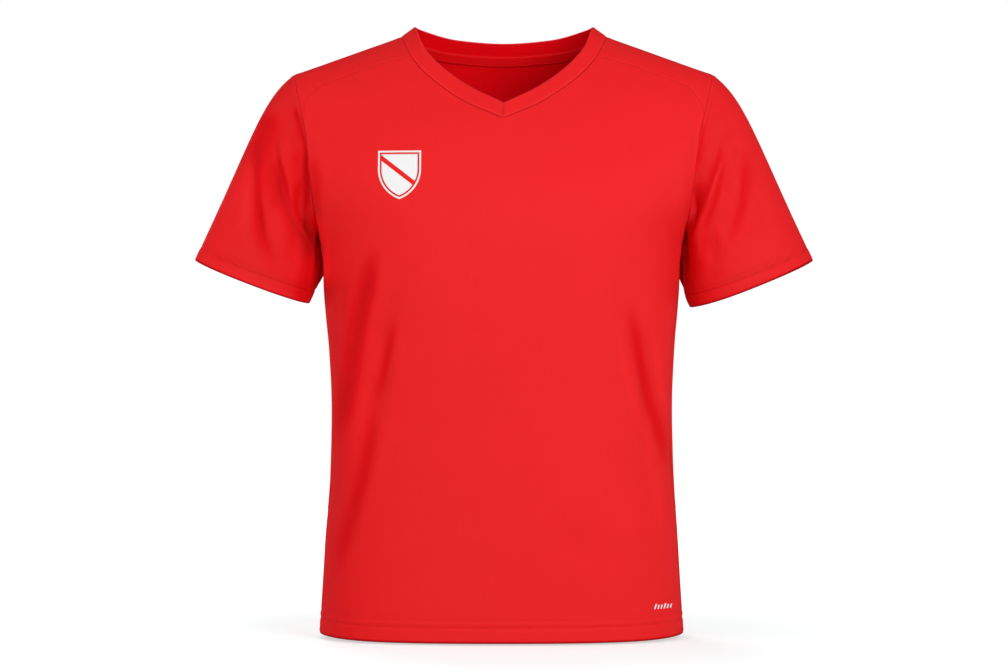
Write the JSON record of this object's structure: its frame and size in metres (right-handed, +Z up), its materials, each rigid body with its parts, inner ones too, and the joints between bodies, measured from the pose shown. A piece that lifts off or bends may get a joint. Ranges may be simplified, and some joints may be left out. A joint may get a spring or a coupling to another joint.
{
  "type": "gym t-shirt",
  "caption": "Short-sleeved V-neck sports shirt of red knit, hollow and filled out as if worn, with shoulder inserts and set-in sleeves.",
  "frame": {"origin": "midway between the two neck points of the shoulders, where the collar seam crosses the top of each shoulder", "axes": "+X towards the wearer's left, +Y towards the wearer's back, +Z up along the hanging body"},
  "size_m": [0.6984, 0.2404, 0.6908],
  "materials": {
    "red_knit": "smooth polyester knit with a soft sheen",
    "red_collar": "the same knit, folded double",
    "red_tape": "narrow knitted tape",
    "white_print": "matte heat-pressed print"
  },
  "bodies": {
    "root": {"front": "red_knit", "back": "red_knit", "shoulder_right": "red_knit", "shoulder_left": "red_knit", "sleeve_right": "red_knit", "sleeve_left": "red_knit", "collar": "red_collar", "neck_tape": "red_tape", "chest_print": "white_print", "hem_print": "white_print"}
  },
  "joints": []
}
